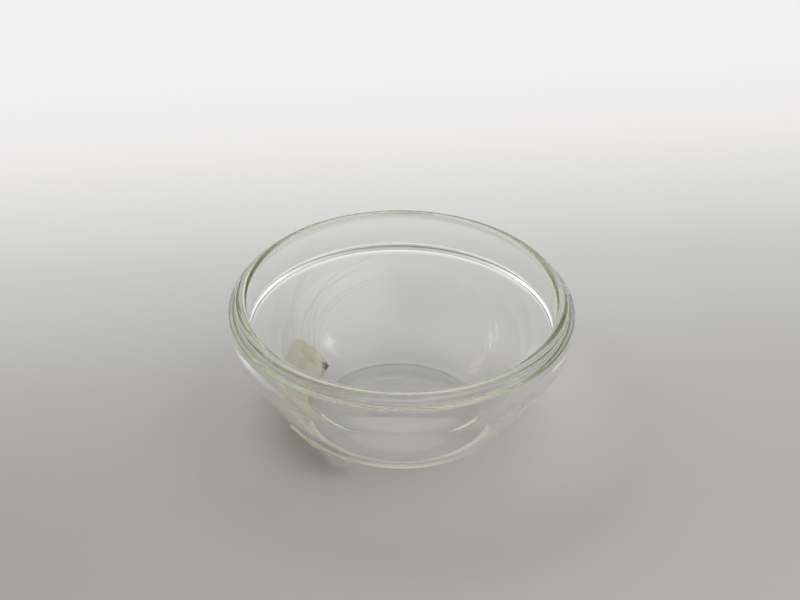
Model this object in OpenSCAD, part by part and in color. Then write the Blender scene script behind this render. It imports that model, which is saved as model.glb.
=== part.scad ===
// Stackable pressed glass prep bowl with the torn remains of a paper label.
// Every section is drawn in the half plane right of the axis and revolved about Z.
// The bowl stands on its foot ring at z = 0, with the axis of the bowl on Z.

/* [Size] */
// Largest diameter, at the top edge of the collar
bowl_d = 90; // [84:0.5:100]
// Height from the table to the top of the lip
bowl_h = 39.1; // [36:0.1:46]

/* [Lip] */
// Thickness of the lip, which is also the diameter of its round top
lip_t = 3.3; // [2.8:0.1:3.8]
// Height of the lip above the step on the collar
lip_rise = 3; // [2.6:0.1:3.6]
// Width of the step between the lip and the edge of the collar
step_w = 1.6; // [1.5:0.1:2.4]
// Radius of the cove where the lip stands on the step
cove_r = 0.9; // [0.4:0.1:1]

/* [Collar] */
// Height of the collar from its lower edge to the step
collar_h = 8.2; // [7:0.2:10]
// Amount by which the collar draws in from its top edge to its lower edge
collar_draft = 0.7; // [0.3:0.1:1.2]
// Radius of the top edge of the collar
collar_top_r = 0.5; // [0.3:0.1:0.6]
// Radius of the lower edge of the collar
collar_low_r = 0.6; // [0.4:0.1:1.4]
// Slope of the shoulder under the collar, down towards the body
shoulder_tilt = 26; // [16:1:34]

/* [Body] */
// Width of the shoulder, from the top edge of the collar in to the body
neck_in = 3.6; // [3:0.1:4.6]
// Radius of the fillet between the shoulder and the body
neck_r = 1.7; // [0.8:0.1:2.4]
// Diameter at which the curve of the body meets the table
foot_d = 45.4; // [42:0.2:49]
// Radius of the curve of the outer wall, seen in section
bulge_r = 52; // [46:1:70]

/* [Inside] */
// Thickness of the wall half way up to the shoulder, measured across
wall_t = 2.4; // [2:0.1:3.2]
// Thickness of the glass from the table to the inner floor
base_t = 3; // [2.4:0.1:4]
// Radius of the curve from the inner floor into the wall
floor_r = 17; // [14:0.5:24]

/* [Foot] */
// Radius of the edge between the body and the foot ring
foot_edge_r = 4; // [2:0.1:6]
// Diameter of the hollow under the base
hollow_d = 30; // [24:0.5:34]
// Depth of the hollow under the base
hollow_t = 0.5; // [0.3:0.1:0.8]

/* [Label] */
// Height of the lowest point of the torn label
label_low = 2.2; // [1.8:0.1:4]
// Height between the lowest and the highest point of the torn label
label_h = 10; // [7:0.5:13]
// Thickness of the wrinkled paper
label_t = 0.3; // [0.2:0.05:0.5]
// Gap between the paper and the glass
label_gap = 0.05; // [0.02:0.01:0.1]
// Angle of the end of the label at the back, from the right of the bowl
label_start = 139; // [120:1:150]
// Angle that the label covers on its way round the left of the bowl
label_sweep = 103; // [80:1:120]

/* [Hidden] */
$fn = 192;

// Overrun of every cut past the glass that it leaves
over = lip_t;
bowl_r = bowl_d / 2;

// Step of the collar, its lower edge and the slope of the shoulder
step_z = bowl_h - lip_rise;
shoulder_z = step_z - collar_h;
edge_p = [bowl_r - collar_draft, shoulder_z];
inward = [-cos(shoulder_tilt), -sin(shoulder_tilt)];
upward = [inward.y, -inward.x];

// Centres of the round lip and of the two round edges of the collar
lip_c = [bowl_r - step_w - lip_t / 2, bowl_h - lip_t / 2];
top_c = [bowl_r - collar_top_r, step_z - collar_top_r];
low_rise = collar_low_r * (1 - sin(shoulder_tilt)) / cos(shoulder_tilt);
low_c = [edge_p.x - collar_low_r, edge_p.y + low_rise];

// Centre of the curve of the outer wall, which passes through the foot and the neck
foot_p = [foot_d / 2, 0];
neck_p = edge_p + inward * (neck_in - collar_draft) / cos(shoulder_tilt);
bulge_c = arc_centre(foot_p, neck_p, bulge_r);
neck_c = fillet_centre(bulge_c, bulge_r, edge_p, inward, neck_r);

// Curve of the inner wall, which starts upright at the lip and leaves the wall its thickness
lip_in = lip_c.x - lip_t / 2;
away = [lip_in - wall_radius(shoulder_z / 2) + wall_t, lip_c.y - shoulder_z / 2];
inner_r = away * away / (2 * away.x);
inner_c = [lip_in - inner_r, lip_c.y];

// Torn outline of the label: shares of its sweep and of its height, chosen by hand
tear_shares = [
    [0.00, 0.08], [0.00, 0.34], [0.02, 0.62], [0.05, 0.84], [0.09, 1.00], [0.14, 0.97],
    [0.19, 0.91], [0.26, 0.88], [0.34, 0.93], [0.42, 0.86], [0.51, 0.80], [0.60, 0.84],
    [0.68, 0.76], [0.76, 0.70], [0.83, 0.64], [0.89, 0.50], [0.93, 0.38], [0.97, 0.24],
    [1.00, 0.12], [0.95, 0.04], [0.88, 0.07], [0.79, 0.00], [0.68, 0.05], [0.55, 0.02],
    [0.43, 0.06], [0.31, 0.01], [0.20, 0.05], [0.09, 0.02]
];

// Centre of the arc of radius r that bulges away from the axis between p and q
function arc_centre(p, q, r) =
    let (half = (q - p) / 2, across = [-half.y, half.x] / norm(half))
    p + half + across * sqrt(r * r - half * half);

// Radius of the outer wall at height z
function wall_radius(z) = bulge_c.x + sqrt(bulge_r * bulge_r - (z - bulge_c.y) * (z - bulge_c.y));

// Direction square to the line outside two circles, with a the upper of the two
// and radii the difference of their radii
function square_to(a, b, radii) =
    let (d = a - b, angle = atan2(d.y, d.x) - acos(radii / norm(d)))
    [cos(angle), sin(angle)];

// Centre of the fillet of radius r between a circle of radius big and the line above it,
// which starts at p and runs along the direction given
function fillet_centre(c, big, p, along, r) =
    let (start = p - r * [along.y, -along.x] - c, b = start * along)
    c + start - along * (b + sqrt(b * b - start * start + (big + r) * (big + r)));

// Body below the shoulder, filled to the axis
module body_area() {
    intersection() {
        translate(bulge_c) circle(bulge_r);
        square([bowl_r, shoulder_z]);
    }
}

// Fillet between the body and the shoulder
module neck_area() {
    touch = bulge_c + (neck_c - bulge_c) * bulge_r / (bulge_r + neck_r);
    difference() {
        polygon([
            [touch.x - over, touch.y], touch, neck_c, neck_c + upward * neck_r,
            [touch.x - over, shoulder_z]
        ]);
        translate(neck_c) circle(neck_r);
    }
}

// Collar with its sloping shoulder and its two round edges, filled to the axis
module collar_area() {
    side = square_to(top_c, low_c, collar_low_r - collar_top_r);
    neck_end = neck_c + upward * neck_r;
    polygon([
        [0, neck_end.y], neck_end, low_c - upward * collar_low_r, low_c,
        low_c + side * collar_low_r, top_c + side * collar_top_r, top_c,
        [top_c.x, step_z], [0, step_z]
    ]);
    translate(low_c) circle(collar_low_r);
    translate(top_c) circle(collar_top_r);
}

// Lip with its round top and the cove at its foot, filled to the axis
module lip_area() {
    lip_side = lip_c.x + lip_t / 2;
    translate([0, top_c.y]) square([lip_side, lip_c.y - top_c.y]);
    translate(lip_c) circle(lip_t / 2);
    difference() {
        translate([lip_c.x, top_c.y]) square([lip_t / 2 + cove_r, step_z - top_c.y + cove_r]);
        translate([lip_side + cove_r, step_z + cove_r]) circle(cove_r);
    }
}

// Inside of the bowl, a smooth curve from the flat floor to the inner side of the lip
module hollow_area() {
    y = base_t + floor_r;
    f = [inner_c.x + sqrt(pow(inner_r - floor_r, 2) - pow(y - inner_c.y, 2)), y];
    touch = inner_c + (f - inner_c) * inner_r / (inner_r - floor_r);
    intersection() {
        translate(inner_c) circle(inner_r);
        translate([0, touch.y]) square([bowl_r, lip_c.y + over - touch.y]);
    }
    polygon([[0, base_t], [f.x, base_t], touch, [0, touch.y]]);
    intersection() {
        translate(f) circle(floor_r);
        translate([f.x, base_t]) square(touch - [f.x, base_t]);
    }
}

// Corner below the curve of the body that the round edge of the foot leaves away
module foot_corner_area() {
    y = foot_edge_r;
    f = [bulge_c.x + sqrt(pow(bulge_r - y, 2) - pow(y - bulge_c.y, 2)), y];
    touch = bulge_c + (f - bulge_c) * bulge_r / (bulge_r - y);
    difference() {
        polygon([f, [f.x, 0], [f.x, -over], [touch.x + over, -over], touch + (touch - f), touch]);
        translate(f) circle(y);
    }
}

// Shallow dome under the base
module foot_hollow_area() {
    dome_r = (pow(hollow_d / 2, 2) + pow(hollow_t, 2)) / (2 * hollow_t);
    intersection() {
        translate([0, hollow_t - dome_r]) circle(dome_r);
        translate([0, -over]) square([bowl_r, over + hollow_t]);
    }
}

module bowl() {
    color([0.80, 0.90, 0.84, 0.45])
    rotate_extrude()
    difference() {
        union() {
            body_area();
            neck_area();
            collar_area();
            lip_area();
        }
        hollow_area();
        foot_corner_area();
        foot_hollow_area();
    }
}

module paper_label() {
    // Point of the torn outline, seen from above
    function torn(share) =
        let (angle = label_start + label_sweep * share[0], z = label_low + label_h * share[1])
        (wall_radius(z) + label_gap) * [cos(angle), sin(angle)];
    color([0.93, 0.90, 0.76])
    intersection() {
        rotate_extrude()
        intersection() {
            difference() {
                translate(bulge_c) circle(bulge_r + label_gap + label_t);
                translate(bulge_c) circle(bulge_r + label_gap);
            }
            translate([0, label_low / 2]) square([bowl_r, label_low + label_h]);
        }
        linear_extrude(shoulder_z) polygon([for (share = tear_shares) torn(share)]);
    }
}

bowl();
paper_label();
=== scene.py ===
"""Clear pressed-glass prep bowl with the torn remains of a paper label, on a pale card.

The bowl is turned from its section by a Geometry Nodes tree. The label is a wrinkled sheet
of torn paper that hugs the outside of the glass. Sizes are in millimetres where a name
ends in _mm or a class says so, and in metres everywhere else.
"""

import logging
import math
from abc import ABC, abstractmethod
from collections.abc import Sequence
from dataclasses import dataclass
from enum import Enum
from functools import partial
from typing import ClassVar

import bmesh
import bpy
from mathutils import Matrix, Vector, geometry, noise


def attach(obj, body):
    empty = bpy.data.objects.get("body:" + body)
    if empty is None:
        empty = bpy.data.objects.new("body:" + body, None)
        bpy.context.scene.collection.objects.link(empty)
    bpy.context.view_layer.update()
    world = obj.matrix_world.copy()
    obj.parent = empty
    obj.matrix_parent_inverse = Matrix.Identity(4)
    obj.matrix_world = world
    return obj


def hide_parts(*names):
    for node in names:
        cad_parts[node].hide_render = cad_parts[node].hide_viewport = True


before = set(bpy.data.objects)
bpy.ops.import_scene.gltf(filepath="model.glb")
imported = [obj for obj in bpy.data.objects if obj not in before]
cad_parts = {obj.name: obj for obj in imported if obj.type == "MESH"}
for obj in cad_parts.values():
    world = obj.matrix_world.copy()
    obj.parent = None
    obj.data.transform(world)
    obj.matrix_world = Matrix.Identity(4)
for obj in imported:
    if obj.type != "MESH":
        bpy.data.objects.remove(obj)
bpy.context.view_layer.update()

MM = 0.001
# Turns that a ray of light may take in the glass before its path ends
BOUNCES = 64
# Kind of flat net that keeps only the triangles inside its outline
INSIDE_ONLY = 1
log = logging.getLogger("prep_bowl")

Point = tuple[float, float]
Place = tuple[float, float, float]
Colour = tuple[float, float, float, float]


class Slot(Enum):
    """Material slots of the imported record."""

    GLASS = "clear_glass"
    PAPER = "label_paper"


# Small helpers


def linear(code: str) -> Colour:
    """Turns an sRGB hex colour into linear RGBA.

    Args:
        code: Six hex digits, with or without a leading #.

    Returns:
        Red, green, blue and alpha, each from 0 to 1.
    """
    values = [int(code.lstrip("#")[i:i + 2], 16) / 255 for i in (0, 2, 4)]
    rgb = [v / 12.92 if v <= 0.04045 else ((v + 0.055) / 1.055) ** 2.4 for v in values]
    return (rgb[0], rgb[1], rgb[2], 1.0)


def add_node(
    tree: bpy.types.NodeTree,
    kind: str,
    inputs: dict[str | int, object] | None = None,
    **settings: object,
) -> bpy.types.Node:
    """Adds a node with its settings, its input values and the links into it.

    Args:
        tree: Node tree that gets the node.
        kind: Blender's name of the node type.
        inputs: Socket name or number, with an output socket to link or a value to set.
        **settings: Attributes of the node itself.

    Returns:
        The new node.
    """
    node = tree.nodes.new(kind)
    for name, value in settings.items():
        setattr(node, name, value)
    for key, value in (inputs or {}).items():
        if isinstance(value, bpy.types.NodeSocket):
            tree.links.new(value, node.inputs[key])
        else:
            node.inputs[key].default_value = value
    return node


def empty_tree(owner: bpy.types.Material | bpy.types.World) -> bpy.types.NodeTree:
    """Turns on the nodes of a material or a world and clears them.

    Args:
        owner: Material or world that gets the nodes.

    Returns:
        Its node tree, with nothing in it.
    """
    owner.use_nodes = True
    owner.node_tree.nodes.clear()
    return owner.node_tree


def set_stops(ramp: bpy.types.ColorRamp, stops: Sequence[tuple[float, Colour]]) -> None:
    """Gives a colour ramp its stops, with a smooth curve through them.

    Args:
        ramp: Ramp to fill.
        stops: Place from 0 to 1 and colour of every stop, in rising order.
    """
    ramp.interpolation = "CARDINAL"
    while len(ramp.elements) < len(stops):
        ramp.elements.new(0.5)
    for element, (share, _) in zip(ramp.elements, stops):
        element.position = share
    for element, (_, colour) in zip(ramp.elements, stops):
        element.color = colour


def link_object(name: str, data: bpy.types.ID) -> bpy.types.Object:
    """Puts a mesh, a camera or a light in the scene as an object at the origin.

    Args:
        name: Name of the object.
        data: Mesh, camera or light.

    Returns:
        The new object.
    """
    thing = bpy.data.objects.new(name, data)
    bpy.context.scene.collection.objects.link(thing)
    return thing


def face_outwards(shell: bmesh.types.BMesh) -> None:
    """Turns the faces of a closed shell outwards.

    Args:
        shell: Closed shell, whose faces may point either way.
    """
    bmesh.ops.recalc_face_normals(shell, faces=shell.faces)
    if shell.calc_volume(signed=True) < 0:
        bmesh.ops.reverse_faces(shell, faces=shell.faces)


# Finishes


@dataclass(frozen=True)
class PressedGlass:
    """Soda-lime glass pressed in a mould and fire polished.

    The eye gets clear walls, grey-green edges where the light runs a long way in the
    glass, and faint waves where the mould chilled the skin.

    Attributes:
        name: Name of the material.
        ior: Refractive index of the glass.
        tint: Colour of the skin.
        body_tint: Colour that the light takes on inside the glass.
        tint_per_metre: Strength of that colour.
        wave_mm: Width of the waves in the skin.
        wave_height_mm: Their height.
        haze: Least roughness of the skin.
        haze_most: Most roughness.
        haze_mm: Width of the dull places.
        haze_range: Values of the pattern at which the haze starts and is full.
    """

    name: str = "fire_polished_soda_lime_glass"
    ior: float = 1.52
    tint: str = "FFFFFF"
    body_tint: str = "D8DEC6"
    tint_per_metre: float = 18.0
    wave_mm: float = 9.0
    wave_height_mm: float = 0.0003
    haze: float = 0.004
    haze_most: float = 0.02
    haze_mm: float = 6.25
    haze_range: Point = (0.4, 0.8)

    def build(self) -> bpy.types.Material:
        """Makes the material.

        Returns:
            The finished glass.
        """
        material = bpy.data.materials.new(self.name)
        add = partial(add_node, empty_tree(material))
        place = add("ShaderNodeTexCoord").outputs["Object"]
        waves = add("ShaderNodeTexNoise", {
            "Vector": place, "Scale": 1 / (self.wave_mm * MM), "Detail": 1.0, "Roughness": 0.4,
        })
        skin = add("ShaderNodeBump", {
            "Height": waves.outputs["Fac"], "Strength": 1.0, "Distance": self.wave_height_mm * MM,
        })
        dust = add("ShaderNodeTexNoise", {
            "Vector": place, "Scale": 1 / (self.haze_mm * MM), "Detail": 4.0,
        })
        rough = add("ShaderNodeMapRange", {
            "Value": dust.outputs["Fac"], "From Min": self.haze_range[0],
            "From Max": self.haze_range[1], "To Min": self.haze, "To Max": self.haze_most,
        })
        surface = add("ShaderNodeBsdfPrincipled", {
            "Base Color": linear(self.tint), "Roughness": rough.outputs["Result"],
            "IOR": self.ior, "Transmission Weight": 1.0, "Normal": skin.outputs["Normal"],
        })
        body = add("ShaderNodeVolumeAbsorption", {
            "Color": linear(self.body_tint), "Density": self.tint_per_metre,
        })
        add("ShaderNodeOutputMaterial", {
            "Surface": surface.outputs["BSDF"], "Volume": body.outputs["Volume"],
        })
        return material


@dataclass(frozen=True)
class SweepPaper:
    """Matt background card: a plain pale floor that runs on behind the bowl.

    The card is palest at the back and greyer in front, a painted falloff of the light from
    behind. Behind the bowl it is a little paler on the left, in front of it a little paler
    on the right, painted light from those sides. A soft round pool under the bowl is paler
    too, a painted pool for the light that clear glass gathers there.

    Attributes:
        name: Name of the material.
        stops: Distance behind the middle of the bowl and colour there, in metres, palest at the
            back for the painted falloff of the light.
        slant: How far the stops move back towards the right, as a share of x.
        lean: Share by which the front of the card is paler on the right, as painted side light.
        lean_x: Distance to the side at which the lean is full.
        lean_back: Distance behind the bowl where the lean starts.
        lean_front: Place in front of the bowl where the lean is full.
        pool: Share by which the painted pool of light is paler.
        pool_at: Middle of the pool.
        pool_in: Radius within which the pool is full.
        pool_out: Radius at which it is gone.
    """

    name: str = "matt_background_card"
    # Painted falloff of the light from behind: palest at the back, greyer in front
    stops: tuple[tuple[float, str], ...] = (
        (-0.100, "A4A09E"), (-0.030, "A4A09E"), (0.030, "AFAEAA"), (0.086, "C3C3C1"),
        (0.137, "DAD9D8"), (0.180, "E2E1E1"), (0.240, "E4E4E4"),
    )
    slant: float = 0.14
    lean: float = 0.085
    lean_x: float = 0.10
    lean_back: float = 0.05
    lean_front: float = -0.04
    pool: float = 0.40
    pool_at: Place = (0.006, 0.0, 0.0)
    pool_in: float = 0.026
    pool_out: float = 0.064

    def build(self) -> bpy.types.Material:
        """Makes the material.

        Returns:
            The finished card.
        """
        material = bpy.data.materials.new(self.name)
        add = partial(add_node, empty_tree(material))
        place = add("ShaderNodeTexCoord").outputs["Object"]
        parts = add("ShaderNodeSeparateXYZ", {"Vector": place}).outputs
        # Painted falloff of the light from behind, as a ramp from front to back
        slanted = add("ShaderNodeMath", {
            0: parts["X"], 1: -self.slant, 2: parts["Y"],
        }, operation="MULTIPLY_ADD")
        front, back = self.stops[0][0], self.stops[-1][0]
        way = add("ShaderNodeMapRange", {
            "Value": slanted.outputs[0], "From Min": front, "From Max": back,
        })
        ramp = add("ShaderNodeValToRGB", {"Fac": way.outputs["Result"]})
        set_stops(
            ramp.color_ramp,
            [((y - front) / (back - front), linear(code)) for y, code in self.stops],
        )
        # Painted side light: behind the bowl paler on the left, in front of it paler on the right
        across = add("ShaderNodeMapRange", {
            "Value": parts["X"], "From Min": -self.lean_x, "From Max": self.lean_x,
            "To Min": -self.lean, "To Max": self.lean,
        })
        in_front = add("ShaderNodeMapRange", {
            "Value": parts["Y"], "From Min": self.lean_back, "From Max": self.lean_front,
        })
        painted_side_light = add("ShaderNodeMath", {
            0: across.outputs["Result"], 1: in_front.outputs["Result"], 2: 1.0,
        }, operation="MULTIPLY_ADD")
        # Painted pool of light under the bowl, for the light that the clear glass gathers there
        away = add("ShaderNodeVectorMath", {0: place, 1: self.pool_at}, operation="DISTANCE")
        pool = add("ShaderNodeMapRange", {
            "Value": away.outputs["Value"], "From Min": self.pool_out, "From Max": self.pool_in,
            "To Min": 1.0, "To Max": 1.0 + self.pool,
        }, interpolation_type="SMOOTHSTEP")
        level = add("ShaderNodeMath", {
            0: painted_side_light.outputs[0], 1: pool.outputs["Result"],
        }, operation="MULTIPLY")
        colour = add("ShaderNodeVectorMath", {
            0: ramp.outputs["Color"], "Scale": level.outputs[0],
        }, operation="SCALE")
        surface = add("ShaderNodeBsdfDiffuse", {
            "Color": colour.outputs["Vector"], "Roughness": 0.0,
        })
        add("ShaderNodeOutputMaterial", {"Surface": surface.outputs["BSDF"]})
        return material


@dataclass(frozen=True)
class LabelPaper:
    """Cheap cream label paper that has been wet and torn.

    Fine fibres and mottled glue stains run over it, and one corner has a dark brown
    spot with a ragged edge.

    Attributes:
        name: Name of the material.
        clean: Colour of the clean paper.
        stained: Colour of the paper under the glue stains.
        spot_colour: Colour of the spot.
        see_through: Share of the light that comes through the paper.
        spot: Middle of the spot, in metres.
        spot_in_mm: Radius within which the spot is full.
        spot_out_mm: Radius at which it is gone.
        spot_edge_mm: Width of the tears in its edge.
        spot_ragged_mm: How far its edge is drawn in by them.
        fibre_mm: Width of the fibres, coarser than real ones so that they show.
        fibre_height_mm: Height of the fibres.
        stain_mm: Width of the glue stains.
        stain_range: Values of the pattern at which a stain starts and is full.
    """

    name: str = "torn_cream_label_paper"
    clean: str = "FBF8E8"
    stained: str = "F3ECD2"
    spot_colour: str = "5A5038"
    see_through: float = 0.2
    spot: Place = (-0.0198, 0.0164, 0.0042)
    spot_in_mm: float = 2.4
    spot_out_mm: float = 3.1
    spot_edge_mm: float = 0.8
    spot_ragged_mm: float = 1.4
    fibre_mm: float = 0.35
    fibre_height_mm: float = 0.05
    stain_mm: float = 5.0
    stain_range: Point = (0.42, 0.62)

    def build(self) -> bpy.types.Material:
        """Makes the material.

        Returns:
            The finished paper.
        """
        material = bpy.data.materials.new(self.name)
        add = partial(add_node, empty_tree(material))
        place = add("ShaderNodeTexCoord").outputs["Object"]
        spread = add("ShaderNodeTexNoise", {
            "Vector": place, "Scale": 1 / (self.stain_mm * MM), "Detail": 3.0, "Roughness": 0.6,
        })
        stain = add("ShaderNodeMapRange", {
            "Value": spread.outputs["Fac"], "From Min": self.stain_range[0],
            "From Max": self.stain_range[1],
        })
        paper = add("ShaderNodeMix", {
            0: stain.outputs["Result"], 6: linear(self.clean), 7: linear(self.stained),
        }, data_type="RGBA")
        ragged = add("ShaderNodeTexNoise", {
            "Vector": place, "Scale": 1 / (self.spot_edge_mm * MM), "Detail": 2.0,
        })
        away = add("ShaderNodeVectorMath", {0: place, 1: self.spot}, operation="DISTANCE")
        uneven = add("ShaderNodeMath", {
            0: ragged.outputs["Fac"], 1: self.spot_ragged_mm * MM, 2: away.outputs["Value"],
        }, operation="MULTIPLY_ADD")
        # Dark brown spot with a ragged edge at one corner of the label
        spot_mask = add("ShaderNodeMapRange", {
            "Value": uneven.outputs[0], "From Min": self.spot_out_mm * MM,
            "From Max": self.spot_in_mm * MM,
        })
        colour = add("ShaderNodeMix", {
            0: spot_mask.outputs["Result"], 6: paper.outputs[2], 7: linear(self.spot_colour),
        }, data_type="RGBA")
        fibres = add("ShaderNodeTexNoise", {
            "Vector": place, "Scale": 1 / (self.fibre_mm * MM), "Detail": 2.0, "Roughness": 0.6,
        })
        relief = add("ShaderNodeBump", {
            "Height": fibres.outputs["Fac"], "Strength": 0.6,
            "Distance": self.fibre_height_mm * MM,
        })
        surface = add("ShaderNodeBsdfPrincipled", {
            "Base Color": colour.outputs[2], "Roughness": 0.85, "IOR": 1.5,
            "Normal": relief.outputs["Normal"],
        })
        behind = add("ShaderNodeBsdfTranslucent", {
            "Color": colour.outputs[2], "Normal": relief.outputs["Normal"],
        })
        thin = add("ShaderNodeMixShader", {
            0: self.see_through, 1: surface.outputs["BSDF"], 2: behind.outputs["BSDF"],
        })
        add("ShaderNodeOutputMaterial", {"Surface": thin.outputs["Shader"]})
        return material


# The bowl


class Stretch(ABC):
    """Stretch of a section in millimetres, walked from its start to its end.

    Attributes:
        hold_mm: Distance from each end to the point that holds the normal there.
        hold_share: The most that this distance may be, as a share of the stretch.
    """

    hold_mm: ClassVar[float] = 0.02
    hold_share: ClassVar[float] = 0.1

    @abstractmethod
    def length(self) -> float:
        """Length of the stretch."""

    @abstractmethod
    def steps(self, pace: float) -> int:
        """Number of equal steps along the stretch that are no longer than the pace."""

    @abstractmethod
    def at(self, share: float) -> Point:
        """Point at a share of the way."""

    def points(self, pace: float) -> list[Point]:
        """Points along the stretch, with one close to each end that holds its normal.

        Args:
            pace: Longest distance between two points.

        Returns:
            The points from start to end.
        """
        length, steps = self.length(), self.steps(pace)
        hold = min(self.hold_mm, length * self.hold_share)
        shares = {0.0, hold / length, 1 - hold / length, 1.0} | {i / steps for i in range(steps)}
        return [self.at(share) for share in sorted(shares)]


@dataclass
class Line2D(Stretch):
    """Straight stretch.

    Attributes:
        start: First point.
        end: Last point.
    """

    start: Point
    end: Point

    def length(self) -> float:
        """Length of the line."""
        return math.dist(self.start, self.end)

    def steps(self, pace: float) -> int:
        """Number of equal steps along the line."""
        return max(1, math.ceil(self.length() / pace))

    def at(self, share: float) -> Point:
        """Point at a share of the way along the line."""
        return on_the_way(self.start, self.end, share)


@dataclass
class Arc2D(Stretch):
    """Round stretch.

    Attributes:
        centre: Centre of the circle.
        radius: Radius of the circle.
        first: Angle of the first point, in radians.
        last: Angle of the last point, in radians.
        widest_turn: The most that one step may turn, in radians.
        fewest_steps: The fewest steps that an arc gets.
    """

    centre: Point
    radius: float
    first: float
    last: float
    hold_share: ClassVar[float] = 0.05
    widest_turn: ClassVar[float] = 0.15
    fewest_steps: ClassVar[int] = 4

    def length(self) -> float:
        """Length along the arc."""
        return abs(self.last - self.first) * self.radius

    def steps(self, pace: float) -> int:
        """Number of equal steps along the arc."""
        turn = abs(self.last - self.first)
        return max(self.fewest_steps, math.ceil(self.length() / pace),
                   math.ceil(turn / self.widest_turn))

    def at(self, share: float) -> Point:
        """Point at a share of the way round the arc."""
        angle = self.first + (self.last - self.first) * share
        return (self.centre[0] + self.radius * math.cos(angle),
                self.centre[1] + self.radius * math.sin(angle))


def angle_to(centre: Point, point: Point) -> float:
    """Angle of the line from a centre to a point, in radians."""
    return math.atan2(point[1] - centre[1], point[0] - centre[0])


def arc_between(centre: Point, start: Point, end: Point, rising: bool) -> Arc2D:
    """Arc round a centre from one point to another.

    Args:
        centre: Centre of the circle, as far from one point as from the other.
        start: First point.
        end: Last point.
        rising: Whether the angle grows on the way.

    Returns:
        The arc.
    """
    first, last = angle_to(centre, start), angle_to(centre, end)
    if rising and last < first:
        last += 2 * math.pi
    if not rising and last > first:
        last -= 2 * math.pi
    return Arc2D(centre, math.dist(centre, start), first, last)


def tangent_direction(upper: Point, lower: Point, radii: float) -> Point:
    """Direction square to the line that touches two circles on their outer side.

    Args:
        upper: Centre of the upper circle.
        lower: Centre of the lower circle.
        radii: Radius of the lower circle less that of the upper one.

    Returns:
        Unit vector from a centre to its point of contact.
    """
    dx, dy = upper[0] - lower[0], upper[1] - lower[1]
    angle = math.atan2(dy, dx) - math.acos(radii / math.hypot(dx, dy))
    return (math.cos(angle), math.sin(angle))


def on_the_way(start: Point, end: Point, share: float) -> Point:
    """Point on the line from one point to another, beyond the end for a share over 1."""
    return (start[0] + (end[0] - start[0]) * share, start[1] + (end[1] - start[1]) * share)


def moved(point: Point, direction: Point, reach: float) -> Point:
    """Point at some reach from another in a direction."""
    return (point[0] + direction[0] * reach, point[1] + direction[1] * reach)


def arc_centre(start: Point, end: Point, radius: float) -> Point:
    """Centre of the arc between two points that bulges away from the axis.

    Args:
        start: Lower point.
        end: Upper point.
        radius: Radius of the arc.

    Returns:
        The centre.
    """
    half = ((end[0] - start[0]) / 2, (end[1] - start[1]) / 2)
    size = math.hypot(*half)
    rise = math.sqrt(radius ** 2 - size ** 2)
    return (
        start[0] + half[0] - half[1] / size * rise,
        start[1] + half[1] + half[0] / size * rise,
    )


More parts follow.
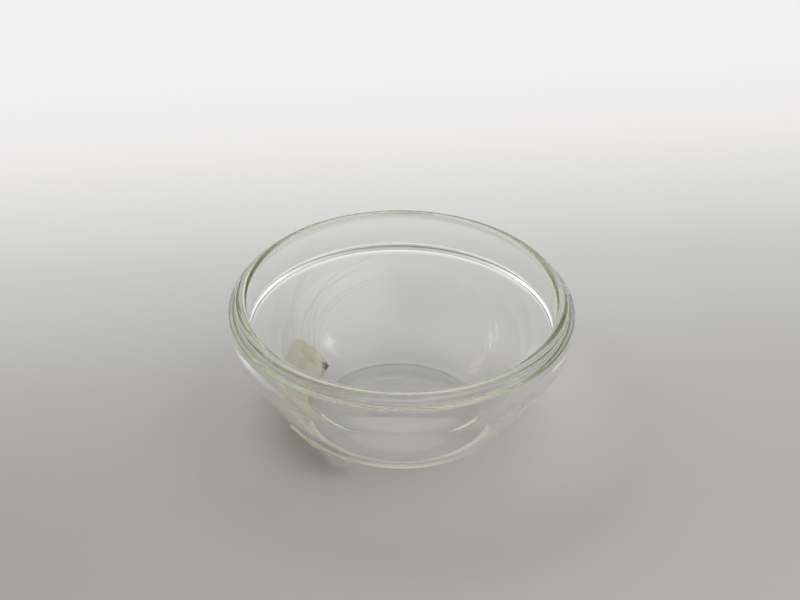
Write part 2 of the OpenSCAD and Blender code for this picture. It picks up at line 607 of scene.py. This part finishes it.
@dataclass
class GlassBowl:
    """Stackable bowl: lip, stepped collar, curved body and foot ring, in millimetres.

    Attributes:
        bowl_r: Largest radius, at the top edge of the collar.
        bowl_h: Height from the table to the top of the lip.
        lip_t: Thickness of the lip and diameter of its round top.
        lip_rise: Height of the lip above the step on the collar.
        step_w: Width of that step, from the lip to the edge of the collar.
        cove_r: Radius of the cove where the lip stands on the step.
        collar_h: Height of the collar.
        collar_draft: How far the collar draws in towards its lower edge.
        collar_top_r: Radius of its top edge.
        collar_low_r: Radius of its lower edge.
        shoulder_tilt: Slope of the shoulder under the collar, in degrees.
        neck_in: Width of the shoulder, from the top edge of the collar to the body.
        neck_r: Radius of the fillet between shoulder and body.
        foot_r: Radius at which the curve of the body meets the table.
        bulge_r: Radius of the curve of the outer wall, seen in section.
        wall_t: Thickness of the wall half way up to the shoulder.
        base_t: Thickness from the table to the inner floor.
        floor_r: Radius of the curve from the inner floor into the wall.
        foot_edge_r: Radius of the edge between body and foot ring.
        hollow_r: Radius of the hollow under the base.
        hollow_t: Depth of the hollow.
        rim_edge_r: Radius of the edge between hollow and foot ring.
        turns: Number of steps round the bowl.
        pace: Longest distance between two points of the section.
        weld: Distance at which points on the axis and along the seam become one.
        same_point: Distance at which two points of the section are taken as one.
        node: Node of the record that the piece replaces.
        piece: Name of the piece.
    """

    same_point: ClassVar[float] = 1e-6

    bowl_r: float = 45.0
    bowl_h: float = 39.1
    lip_t: float = 3.3
    lip_rise: float = 3.0
    step_w: float = 1.6
    cove_r: float = 0.9
    collar_h: float = 8.2
    collar_draft: float = 0.7
    collar_top_r: float = 0.5
    collar_low_r: float = 0.6
    shoulder_tilt: float = 26.0
    neck_in: float = 3.6
    neck_r: float = 1.7
    foot_r: float = 22.7
    bulge_r: float = 52.0
    wall_t: float = 2.4
    base_t: float = 3.0
    floor_r: float = 17.0
    foot_edge_r: float = 4.0
    hollow_r: float = 15.0
    hollow_t: float = 0.5
    rim_edge_r: float = 0.25
    turns: int = 320
    pace: float = 1.6
    weld: float = 0.0001
    node: str = "bowl"
    piece: str = "bowl_glass"

    def step_z(self) -> float:
        """Height of the step between the lip and the collar."""
        return self.bowl_h - self.lip_rise

    def edge(self) -> Point:
        """Lower edge of the collar, before it is rounded."""
        return (self.bowl_r - self.collar_draft, self.step_z() - self.collar_h)

    def inward(self) -> Point:
        """Unit vector down the shoulder, from the edge of the collar to the body."""
        tilt = math.radians(self.shoulder_tilt)
        return (-math.cos(tilt), -math.sin(tilt))

    def bulge_centre(self) -> Point:
        """Centre of the curve of the outer wall.

        Returns:
            The centre of the arc through the foot and the neck.
        """
        edge, inward = self.edge(), self.inward()
        reach = (self.neck_in - self.collar_draft) / -inward[0]
        return arc_centre((self.foot_r, 0.0), moved(edge, inward, reach), self.bulge_r)

    def wall_radius(self, z: float) -> float:
        """Radius of the outer wall at a height below the shoulder."""
        centre = self.bulge_centre()
        return centre[0] + math.sqrt(self.bulge_r ** 2 - (z - centre[1]) ** 2)

    def neck_centre(self) -> Point:
        """Centre of the fillet between the body and the shoulder.

        Returns:
            The point that is one fillet radius away from both.
        """
        bulge, inward = self.bulge_centre(), self.inward()
        start = moved(self.edge(), (inward[1], -inward[0]), -self.neck_r)
        away = (start[0] - bulge[0], start[1] - bulge[1])
        b = away[0] * inward[0] + away[1] * inward[1]
        reach = -b - math.sqrt(b * b - away[0] ** 2 - away[1] ** 2
                               + (self.bulge_r + self.neck_r) ** 2)
        return moved(start, inward, reach)

    def under(self) -> list[Stretch]:
        """Underside of the bowl.

        Returns:
            Stretches of the section from the axis under the base to the body.
        """
        bulge = self.bulge_centre()
        # Round edge between the hollow and the foot ring
        dome_r = (self.hollow_r ** 2 + self.hollow_t ** 2) / (2 * self.hollow_t)
        dome = (0.0, self.hollow_t - dome_r)
        rim_z = self.rim_edge_r
        rim = (math.sqrt((dome_r + rim_z) ** 2 - (rim_z - dome[1]) ** 2), rim_z)
        dome_end = on_the_way(dome, rim, dome_r / (dome_r + rim_z))
        # Round edge between the foot ring and the body
        foot_r = self.foot_edge_r
        foot = (
            bulge[0] + math.sqrt((self.bulge_r - foot_r) ** 2 - (foot_r - bulge[1]) ** 2),
            foot_r,
        )
        foot_end = on_the_way(bulge, foot, self.bulge_r / (self.bulge_r - foot_r))
        return [
            arc_between(dome, (0.0, self.hollow_t), dome_end, False),
            arc_between(rim, dome_end, (rim[0], 0.0), True),
            Line2D((rim[0], 0.0), (foot[0], 0.0)),
            arc_between(foot, (foot[0], 0.0), foot_end, True),
        ]

    def outside(self) -> list[Stretch]:
        """Underside and outside of the bowl.

        Returns:
            Stretches of the section from the axis under the base to the side of the lip.
        """
        bulge, edge, inward = self.bulge_centre(), self.edge(), self.inward()
        upward = (inward[1], -inward[0])
        under = self.under()
        foot_end = under[-1].at(1.0)
        neck, neck_r, low_r = self.neck_centre(), self.neck_r, self.collar_low_r
        neck_start = on_the_way(bulge, neck, self.bulge_r / (self.bulge_r + neck_r))
        neck_end = moved(neck, upward, neck_r)
        top = (self.bowl_r - self.collar_top_r, self.step_z() - self.collar_top_r)
        low = (edge[0] - low_r, edge[1] + low_r * (1 + inward[1]) / -inward[0])
        low_start = moved(low, upward, -low_r)
        side = tangent_direction(top, low, low_r - self.collar_top_r)
        low_end = moved(low, side, low_r)
        top_start = moved(top, side, self.collar_top_r)
        lip = self.lip_centre()
        lip_side = lip[0] + self.lip_t / 2
        cove = (lip_side + self.cove_r, self.step_z() + self.cove_r)
        return under + [
            arc_between(bulge, foot_end, neck_start, True),
            arc_between(neck, neck_start, neck_end, False),
            Line2D(neck_end, low_start),
            arc_between(low, low_start, low_end, True),
            Line2D(low_end, top_start),
            arc_between(top, top_start, (top[0], self.step_z()), True),
            Line2D((top[0], self.step_z()), (cove[0], self.step_z())),
            arc_between(cove, (cove[0], self.step_z()), (lip_side, cove[1]), False),
            Line2D((lip_side, cove[1]), (lip_side, lip[1])),
        ]

    def lip_centre(self) -> Point:
        """Centre of the round top of the lip."""
        return (
            self.bowl_r - self.step_w - self.lip_t / 2,
            self.bowl_h - self.lip_t / 2,
        )

    def inner_wall(self) -> tuple[Point, float]:
        """Curve of the inner wall, which is upright at the lip.

        Returns:
            Its centre and its radius.
        """
        lip, mid_z = self.lip_centre(), self.edge()[1] / 2
        lip_in = lip[0] - self.lip_t / 2
        dx, dz = lip_in - self.wall_radius(mid_z) + self.wall_t, lip[1] - mid_z
        inner_r = (dx * dx + dz * dz) / (2 * dx)
        return (lip_in - inner_r, lip[1]), inner_r

    def inside(self) -> list[Stretch]:
        """Round top of the lip and inside of the bowl.

        Returns:
            Stretches of the section from the side of the lip to the axis on the floor.
        """
        lip, lip_r = self.lip_centre(), self.lip_t / 2
        inner, inner_r = self.inner_wall()
        lip_end = (lip[0] - lip_r, lip[1])
        floor_z = self.base_t + self.floor_r
        hollow = (
            inner[0] + math.sqrt((inner_r - self.floor_r) ** 2 - (floor_z - inner[1]) ** 2),
            floor_z,
        )
        touch = on_the_way(inner, hollow, inner_r / (inner_r - self.floor_r))
        return [
            arc_between(lip, (lip[0] + lip_r, lip[1]), lip_end, True),
            arc_between(inner, lip_end, touch, False),
            arc_between(hollow, touch, (hollow[0], self.base_t), False),
            Line2D((hollow[0], self.base_t), (0.0, self.base_t)),
        ]

    def section(self) -> list[Point]:
        """Points of the whole section.

        Returns:
            The points from the axis under the base to the axis on the inner floor.
        """
        found: list[Point] = []
        for stretch in self.outside() + self.inside():
            for point in stretch.points(self.pace):
                if not found or math.dist(found[-1], point) > self.same_point:
                    found.append(point)
        return found

    def turning_tree(self) -> bpy.types.NodeTree:
        """Geometry Nodes tree that turns a section about Z into a closed skin.

        Returns:
            The tree, with the section, its number of points, the turns and the finish as inputs.
        """
        tree = bpy.data.node_groups.new("turn_section", "GeometryNodeTree")
        add = partial(add_node, tree)
        sockets = {"Section": "Object", "Points": "Int", "Turns": "Int", "Finish": "Material"}
        for name, kind in sockets.items():
            tree.interface.new_socket(name, in_out="INPUT", socket_type="NodeSocket" + kind)
        tree.interface.new_socket("Geometry", in_out="OUTPUT", socket_type="NodeSocketGeometry")
        given = add("NodeGroupInput").outputs
        seam = add("ShaderNodeMath", {0: given["Turns"], 1: 1.0}, operation="ADD")
        grid = add("GeometryNodeMeshGrid", {
            "Vertices X": seam.outputs[0], "Vertices Y": given["Points"],
        })
        number = add("GeometryNodeInputIndex")
        column_at = add("ShaderNodeMath", {
            0: number.outputs[0], 1: given["Points"],
        }, operation="DIVIDE")
        column = add("ShaderNodeMath", {0: column_at.outputs[0]}, operation="FLOOR")
        column_turns = add("ShaderNodeMath", {
            0: column.outputs[0], 1: 2 * math.pi,
        }, operation="MULTIPLY")
        angle = add("ShaderNodeMath", {
            0: column_turns.outputs[0], 1: given["Turns"],
        }, operation="DIVIDE")
        row = add("ShaderNodeMath", {0: number.outputs[0], 1: given["Points"]}, operation="MODULO")
        drawn = add("GeometryNodeObjectInfo", {"Object": given["Section"]})
        where = add("GeometryNodeInputPosition")
        point = add("GeometryNodeSampleIndex", {
            "Geometry": drawn.outputs["Geometry"], "Value": where.outputs[0],
            "Index": row.outputs[0],
        }, data_type="FLOAT_VECTOR")
        parts = add("ShaderNodeSeparateXYZ", {"Vector": point.outputs[0]}).outputs
        flat = []
        for ratio in ("COSINE", "SINE"):
            share = add("ShaderNodeMath", {0: angle.outputs[0]}, operation=ratio)
            flat.append(add("ShaderNodeMath", {
                0: parts["X"], 1: share.outputs[0],
            }, operation="MULTIPLY"))
        spot = add("ShaderNodeCombineXYZ", {
            "X": flat[0].outputs[0], "Y": flat[1].outputs[0], "Z": parts["Z"],
        })
        placed = add("GeometryNodeSetPosition", {
            "Geometry": grid.outputs["Mesh"], "Position": spot.outputs[0],
        })
        closed = add("GeometryNodeMergeByDistance", {
            "Geometry": placed.outputs["Geometry"], "Distance": self.weld * MM,
        })
        smooth = add("GeometryNodeSetShadeSmooth", {"Geometry": closed.outputs["Geometry"]})
        real = add("GeometryNodeRealizeInstances", {"Geometry": smooth.outputs["Geometry"]})
        dressed = add("GeometryNodeSetMaterial", {
            "Geometry": real.outputs["Geometry"], "Material": given["Finish"],
        })
        add("NodeGroupOutput", {"Geometry": dressed.outputs["Geometry"]})
        return tree

    def build(self, finish: bpy.types.Material) -> bpy.types.Object:
        """Turns the section and puts the result in the CAD bowl's place.

        Args:
            finish: Material of the glass.

        Returns:
            The bowl, riding on the root body.
        """
        points = self.section()
        drawn = bpy.data.meshes.new("section")
        drawn.from_pydata([(r * MM, 0.0, z * MM) for r, z in points], [], [])
        section = link_object("section", drawn)
        carrier = link_object("carrier", bpy.data.meshes.new("carrier"))
        tree = self.turning_tree()
        live = carrier.modifiers.new("turn", "NODES")
        live.node_group = tree
        values = {"Section": section, "Points": len(points), "Turns": self.turns,
                  "Finish": finish}
        for socket in tree.interface.items_tree:
            if socket.in_out == "INPUT":
                live[socket.identifier] = values[socket.name]
        bpy.context.view_layer.update()
        graph = bpy.context.evaluated_depsgraph_get()
        mesh = bpy.data.meshes.new_from_object(carrier.evaluated_get(graph))
        bpy.data.objects.remove(carrier)
        bpy.data.objects.remove(section)
        mesh.name = self.piece
        skin = bmesh.new()
        skin.from_mesh(mesh)
        face_outwards(skin)
        skin.to_mesh(mesh)
        skin.free()
        bowl = link_object(self.piece, mesh)
        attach(bowl, "root")
        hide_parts(self.node)
        return bowl


# The label


@dataclass(frozen=True)
class Crease:
    """Fold or swelling of the paper.

    Attributes:
        start: Azimuth in degrees and height in millimetres of one end.
        end: Azimuth and height of the other end.
        width: Half width in millimetres.
        height: How far it stands off the glass in millimetres.
    """

    start: Point
    end: Point
    width: float
    height: float

    def lift(self, spot: Point, radius: float) -> float:
        """Height of the crease at a spot.

        Args:
            spot: Azimuth in degrees and height in millimetres.
            radius: Radius of the wall there, in millimetres.

        Returns:
            Distance off the glass in millimetres.
        """
        arc = math.radians(radius)
        ax, az = self.start[0] * arc, self.start[1]
        dx, dz = (self.end[0] - self.start[0]) * arc, self.end[1] - self.start[1]
        px, pz = spot[0] * arc - ax, spot[1] - az
        share = min(1.0, max(0.0, (px * dx + pz * dz) / (dx * dx + dz * dz)))
        away = math.hypot(px - dx * share, pz - dz * share)
        return self.height * math.exp(-((away / self.width) ** 2))


@dataclass
class PaperLabel:
    """Torn and wrinkled rest of a paper label on the outside of the glass, in millimetres.

    Attributes:
        low: Height of the lowest point.
        height: Height between the lowest and the highest point.
        thick: Thickness of the paper.
        gap: Least distance between the paper and the glass.
        first: Azimuth of the end at the back, in degrees.
        sweep: Angle from there to the other end.
        pitch: Distance between two points of the net.
        clear_share: Least distance of a point from the edge, as a share of the pitch.
        join: Distance at which two points of the net become one.
        wrinkle: Height of the fine wrinkles.
        wrinkles_per_mm: Pace of the wide wrinkles.
        ripples_per_mm: Pace of the fine ripples, round the bowl and upwards.
        ragged: Depth of the fine tears in the edge.
        tears_per_mm: Pace of the tears.
        below: How far a tear may reach under the lowest point.
        seed: Place in the noise of the tears and of the wide wrinkles.
        tear_seed: Step from there to the noise of the upward tears.
        ripple_seed: Step from there to the noise of the ripples.
        tear_shares: Torn outline, as shares of the sweep and of the height.
        creases: Folds and swellings.
        node: Node of the record that the piece replaces.
        piece: Name of the piece.
    """

    low: float = 2.2
    height: float = 10.0
    thick: float = 0.12
    gap: float = 0.06
    first: float = 139.0
    sweep: float = 103.0
    pitch: float = 0.45
    clear_share: float = 0.6
    join: float = 1e-5
    wrinkle: float = 0.22
    wrinkles_per_mm: float = 0.45
    ripples_per_mm: Point = (1.1, 0.9)
    ragged: float = 0.35
    tears_per_mm: float = 1.3
    below: float = 0.2
    seed: float = 7.0
    tear_seed: float = 9.0
    ripple_seed: float = 3.0
    tear_shares: tuple[Point, ...] = (
        (0.00, 0.08), (0.00, 0.34), (0.02, 0.62), (0.05, 0.84), (0.09, 1.00), (0.14, 0.97),
        (0.19, 0.91), (0.26, 0.88), (0.34, 0.93), (0.42, 0.86), (0.51, 0.80), (0.60, 0.84),
        (0.68, 0.76), (0.76, 0.70), (0.83, 0.64), (0.89, 0.50), (0.93, 0.38), (0.97, 0.24),
        (1.00, 0.12), (0.95, 0.04), (0.88, 0.07), (0.79, 0.00), (0.68, 0.05), (0.55, 0.02),
        (0.43, 0.06), (0.31, 0.01), (0.20, 0.05), (0.09, 0.02),
    )
    creases: tuple[Crease, ...] = (
        Crease((151.0, 11.6), (146.0, 3.0), 0.35, 0.55),
        Crease((157.0, 11.0), (150.5, 3.6), 0.30, 0.45),
        Crease((163.0, 9.0), (171.0, 3.4), 0.45, 0.40),
        Crease((182.0, 9.6), (196.0, 5.0), 0.50, 0.35),
        Crease((201.0, 8.4), (214.0, 3.4), 0.45, 0.40),
        Crease((212.0, 9.4), (222.0, 8.4), 0.70, 0.60),
        Crease((222.0, 7.4), (229.0, 5.6), 0.85, 1.00),
        Crease((231.0, 5.0), (236.0, 3.4), 0.70, 0.85),
        Crease((237.5, 3.8), (241.5, 3.2), 0.55, 1.00),
        Crease((224.0, 3.0), (233.0, 2.6), 0.60, 0.70),
    )
    node: str = "paper_label"
    piece: str = "label_paper_rest"

    def torn_edge(self, middle_r: float) -> list[Point]:
        """Points round the torn edge, with a fine ragged tear added.

        Args:
            middle_r: Radius of the wall half way up the label, for lengths along it.

        Returns:
            Arc length and height of every point, in millimetres.
        """
        arc = math.radians(middle_r)
        corners = [
            ((self.first + self.sweep * across) * arc, self.low + self.height * up)
            for across, up in self.tear_shares
        ]
        found: list[Point] = []
        for start, end in zip(corners, corners[1:] + corners[:1]):
            steps = max(1, round(math.dist(start, end) / self.pitch))
            found += [on_the_way(start, end, i / steps) for i in range(steps)]
        first_u, last_u = min(u for u, _ in found), max(u for u, _ in found)
        torn: list[Point] = []
        for u, z in found:
            at = (u * self.tears_per_mm, z * self.tears_per_mm)
            du = noise.noise(Vector((*at, self.seed))) * self.ragged
            dz = noise.noise(Vector((*at, self.seed + self.tear_seed))) * self.ragged
            torn.append((min(last_u, max(first_u, u + du)),
                         min(self.low + self.height, max(self.low - self.below, z + dz))))
        return torn

    def lift(self, angle: float, z: float, radius: float) -> float:
        """Distance between the glass and the back of the paper.

        Args:
            angle: Azimuth in degrees.
            z: Height in millimetres.
            radius: Radius of the wall there.

        Returns:
            The distance in millimetres.
        """
        u = math.radians(angle) * radius
        wide, (fine_u, fine_z) = self.wrinkles_per_mm, self.ripples_per_mm
        coarse = noise.noise(Vector((u * wide, z * wide, self.seed)))
        ripple = noise.noise(Vector((u * fine_u, z * fine_z, self.seed + self.ripple_seed)))
        fine = 1 - abs(ripple)
        folds = max(crease.lift((angle, z), radius) for crease in self.creases)
        return self.gap + self.wrinkle * (0.5 + 0.5 * coarse) * fine + folds

    def net(self, middle_r: float) -> tuple[list[Vector], list[list[int]]]:
        """Flat net of triangles between the torn edges.

        Args:
            middle_r: Radius of the wall half way up the label, for lengths along it.

        Returns:
            Arc length and height of every point, and the points of every triangle.
        """
        arc = math.radians(middle_r)
        rim = self.torn_edge(middle_r)
        inner: list[Point] = []
        for i in range(math.ceil(self.sweep * arc / self.pitch)):
            for j in range(math.ceil(self.height / self.pitch)):
                u = self.first * arc + (i + 0.5 + 0.5 * (j % 2)) * self.pitch
                z = self.low + (j + 0.5) * self.pitch
                if min(math.dist((u, z), p) for p in rim) > self.clear_share * self.pitch:
                    inner.append((u, z))
        flat = [Vector(p) for p in rim + inner]
        edges = [(i, (i + 1) % len(rim)) for i in range(len(rim))]
        spots, _, tiles, _, _, _ = geometry.delaunay_2d_cdt(
            flat, edges, [], INSIDE_ONLY, self.join
        )
        return spots, tiles

    def layer(
        self, spots: Sequence[Vector], glass: GlassBowl, middle_r: float, above: float
    ) -> list[Place]:
        """One side of the paper, laid round the bowl.

        Args:
            spots: Arc length and height of every point.
            glass: Bowl that the paper sticks to.
            middle_r: Radius of the wall half way up the label.
            above: Distance of this side from the back of the paper.

        Returns:
            Place of every point, in metres.
        """
        arc = math.radians(middle_r)
        places: list[Place] = []
        for u, z in spots:
            angle, wall = u / arc, glass.wall_radius(z)
            r = wall + self.lift(angle, z, wall) + above
            turn = math.radians(angle)
            places.append((r * math.cos(turn) * MM, r * math.sin(turn) * MM, z * MM))
        return places

    def build(self, glass: GlassBowl, finish: bpy.types.Material) -> bpy.types.Object:
        """Lays the torn paper round the outside of the bowl.

        Args:
            glass: Bowl that the paper sticks to.
            finish: Material of the paper.

        Returns:
            The paper, riding on the root body.
        """
        middle_r = glass.wall_radius(self.low + self.height / 2)
        spots, tiles = self.net(middle_r)
        paper = bmesh.new()
        lower = [paper.verts.new(place) for place in self.layer(spots, glass, middle_r, 0.0)]
        upper = [
            paper.verts.new(place) for place in self.layer(spots, glass, middle_r, self.thick)
        ]
        for tile in tiles:
            paper.faces.new([upper[i] for i in tile]).smooth = True
            paper.faces.new([lower[i] for i in reversed(tile)]).smooth = True
        sides = [side for tile in tiles for side in zip(tile, list(tile[1:]) + [tile[0]])]
        shared = set(sides)
        for a, b in sides:
            if (b, a) not in shared:
                paper.faces.new([upper[b], upper[a], lower[a], lower[b]])
        loose = [v for v in paper.verts if not v.link_faces]
        bmesh.ops.delete(paper, geom=loose, context="VERTS")
        face_outwards(paper)
        mesh = bpy.data.meshes.new(self.piece)
        paper.to_mesh(mesh)
        paper.free()
        mesh.materials.append(finish)
        label = link_object(self.piece, mesh)
        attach(label, "root")
        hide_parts(self.node)
        return label


# The studio


@dataclass(frozen=True)
class FarLight:
    """Small square light far from the bowl, which leaves a glint on the glass.

    Attributes:
        place: Middle of the light, which faces the origin.
        side: Length of its sides.
        watts: Its power.
    """

    place: Place
    side: float
    watts: float

    def build(self) -> None:
        """Makes the light, which the camera doesn't see by itself."""
        data = bpy.data.lights.new("far_light", "AREA")
        data.shape = "SQUARE"
        data.size = self.side
        data.energy = self.watts
        light = link_object("far_light", data)
        light.location = self.place
        light.visible_camera = False
        light.rotation_mode = "QUATERNION"
        light.rotation_quaternion = (-Vector(self.place)).to_track_quat("-Z", "Y")


@dataclass(frozen=True)
class GlowPatch:
    """Round patch of sky that is brighter than the rest and fades out softly.

    Attributes:
        towards: Direction of its middle.
        spread: Angle from the middle to the edge, in radians.
        gain: Brightness that it adds in the middle, as a multiple of the sky's.
    """

    towards: Place
    spread: float
    gain: float

    def build(
        self, tree: bpy.types.NodeTree, direction: bpy.types.NodeSocket
    ) -> bpy.types.NodeSocket:
        """Adds the nodes of the patch to the world.

        Args:
            tree: Node tree of the world.
            direction: Output with the direction of the ray.

        Returns:
            Output with the gain, which is 0 outside the patch.
        """
        aimed = add_node(
            tree, "ShaderNodeVectorMath",
            {0: direction, 1: Vector(self.towards).normalized()}, operation="DOT_PRODUCT",
        )
        patch = add_node(
            tree, "ShaderNodeMapRange",
            {"Value": aimed.outputs["Value"], "From Min": math.cos(self.spread),
             "From Max": 1.0, "To Min": 0.0, "To Max": self.gain},
            interpolation_type="SMOOTHSTEP",
        )
        return patch.outputs["Result"]


@dataclass
class Studio:
    """Card, camera, room and far lights round the bowl, in metres.

    Attributes:
        half_width: Half the width of the card.
        gap: Distance of the card under the foot of the bowl.
        front: Front edge of the card.
        back: Back edge of the card.
        sky: Share of the way from the horizon behind over the top to the horizon in front,
            and brightness there.
        sky_side: Brightness of the sky at the sides.
        sky_strength: Strength of the whole sky.
        overhead: Soft glow above the bowl.
        fill: Soft glow on the right in front.
        far_lights: Lights that leave glints.
        aim: Point that the camera is turned to.
        elevation: Angle from which it looks down, in degrees.
        roll: Turn of the camera round its axis, in degrees.
        distance: Distance from the camera to the aim.
        focal_px: Focal length in pixels of the frame.
        aim_px: Place of the aim in the frame, right of and below its middle.
        frame_px: Width of the frame.
        sensor_mm: Width of the sensor.
        near: Nearest distance that the camera sees.
        far: Farthest distance that it sees.
    """

    half_width: float = 1.6
    gap: float = 0.00005
    front: float = -1.6
    back: float = 1.6
    sky: tuple[Point, ...] = (
        (0.00, 0.20), (0.13, 0.41), (0.27, 0.55), (0.40, 0.48), (0.67, 0.25), (0.80, 0.31),
        (1.00, 0.55),
    )
    sky_side: float = 0.42
    sky_strength: float = 0.82
    overhead: GlowPatch = GlowPatch((-0.15, 0.10, 1.00), spread=1.04, gain=4.5)
    fill: GlowPatch = GlowPatch((0.70, -0.45, 0.45), spread=1.00, gain=3.2)
    far_lights: tuple[FarLight, ...] = (
        FarLight((0.75, -0.10, 0.55), side=0.15, watts=0.13),
        FarLight((-0.75, 0.04, 0.32), side=0.13, watts=0.08),
    )
    aim: Place = (0.0, 0.0, 0.020)
    elevation: float = 35.809
    roll: float = 1.014
    distance: float = 0.600
    focal_px: float = 2272.3
    aim_px: Point = (0.87, 56.48)
    frame_px: float = 800.0
    sensor_mm: float = 36.0
    near: float = 0.05
    far: float = 10.0

    def sweep(self, finish: bpy.types.Material) -> None:
        """Makes the flat card under and behind the bowl.

        Args:
            finish: Material of the card.
        """
        wide, z = self.half_width, -self.gap
        mesh = bpy.data.meshes.new("sweep")
        mesh.from_pydata(
            [(-wide, self.front, z), (wide, self.front, z), (wide, self.back, z),
             (-wide, self.back, z)],
            [], [(0, 1, 2, 3)],
        )
        mesh.materials.append(finish)
        sweep = link_object("sweep", mesh)

    def camera(self) -> None:
        """Makes the scene's camera, at the angle, distance and tilt of the photograph."""
        down = math.radians(self.elevation)
        ahead = Vector((0, math.cos(down), -math.sin(down)))
        right = Vector((1, 0, 0))
        up = right.cross(ahead)
        spot = Vector(self.aim) - ahead * self.distance
        axes = Matrix((right, up, -ahead)).transposed()
        rolled = axes @ Matrix.Rotation(math.radians(self.roll), 3, "Z")
        seen = Vector((self.aim_px[0], -self.aim_px[1], -self.focal_px)).normalized()
        tilt = Vector((0, 0, -1)).rotation_difference(seen).to_matrix()
        data = bpy.data.cameras.new("camera")
        data.sensor_width = self.sensor_mm
        data.lens = self.focal_px / self.frame_px * self.sensor_mm
        data.clip_start, data.clip_end = self.near, self.far
        camera = link_object("camera", data)
        camera.matrix_world = Matrix.Translation(spot) @ (rolled @ tilt.transposed()).to_4x4()
        bpy.context.scene.camera = camera

    def world(self) -> None:
        """Makes the room, a sky whose brightness changes with the direction.

        A ramp runs from the horizon behind the bowl over the top to the horizon in front,
        and gives way to one plain level at the sides. The soft glows raise it.
        """
        world = bpy.data.worlds.new("room")
        bpy.context.scene.world = world
        tree = empty_tree(world)
        add = partial(add_node, tree)
        direction = add("ShaderNodeTexCoord").outputs["Generated"]
        parts = add("ShaderNodeSeparateXYZ", {"Vector": direction}).outputs
        high = add("ShaderNodeMath", {0: parts["Z"], 1: 0.0}, operation="MAXIMUM")
        turn = add("ShaderNodeMath", {0: high.outputs[0], 1: parts["Y"]}, operation="ARCTAN2")
        way = add("ShaderNodeMath", {0: turn.outputs[0], 1: math.pi}, operation="DIVIDE")
        ramp = add("ShaderNodeValToRGB", {"Fac": way.outputs[0]})
        set_stops(
            ramp.color_ramp,
            [(share, (level, level, level, 1.0)) for share, level in self.sky],
        )
        aside = add("ShaderNodeMath", {0: parts["X"], 1: parts["X"]}, operation="MULTIPLY")
        side = self.sky_side
        both = add("ShaderNodeMix", {
            0: aside.outputs[0], 6: ramp.outputs["Color"], 7: (side, side, side, 1.0),
        }, data_type="RGBA")
        overhead = self.overhead.build(tree, direction)
        fill = self.fill.build(tree, direction)
        glow = add("ShaderNodeMath", {0: overhead, 1: fill}, operation="ADD")
        gain = add("ShaderNodeMath", {0: glow.outputs[0], 1: 1.0}, operation="ADD")
        level = add("ShaderNodeVectorMath", {
            0: both.outputs[2], "Scale": gain.outputs[0],
        }, operation="SCALE")
        light = add("ShaderNodeBackground", {
            "Color": level.outputs["Vector"], "Strength": self.sky_strength,
        })
        add("ShaderNodeOutputWorld", {"Surface": light.outputs["Background"]})

    def build(self) -> None:
        """Makes the camera, the card, the room and the far lights."""
        self.camera()
        self.sweep(SweepPaper().build())
        self.world()
        for light in self.far_lights:
            light.build()


def main() -> None:
    """Builds the bowl, its label and what stands round them, and reports each piece."""
    logging.basicConfig(level=logging.INFO, format="%(name)s %(message)s")
    scene = bpy.context.scene
    scene.view_settings.view_transform = "Standard"
    scene.cycles.max_bounces = BOUNCES
    scene.cycles.transmission_bounces = BOUNCES
    scene.cycles.glossy_bounces = BOUNCES
    Studio().build()
    bowl = GlassBowl()
    label = PaperLabel()
    pieces = [bowl.build(PressedGlass().build()), label.build(bowl, LabelPaper().build())]
    for piece in pieces:
        log.info("%s: %d faces", piece.name, len(piece.data.polygons))


if __name__ == "__main__":
    main()
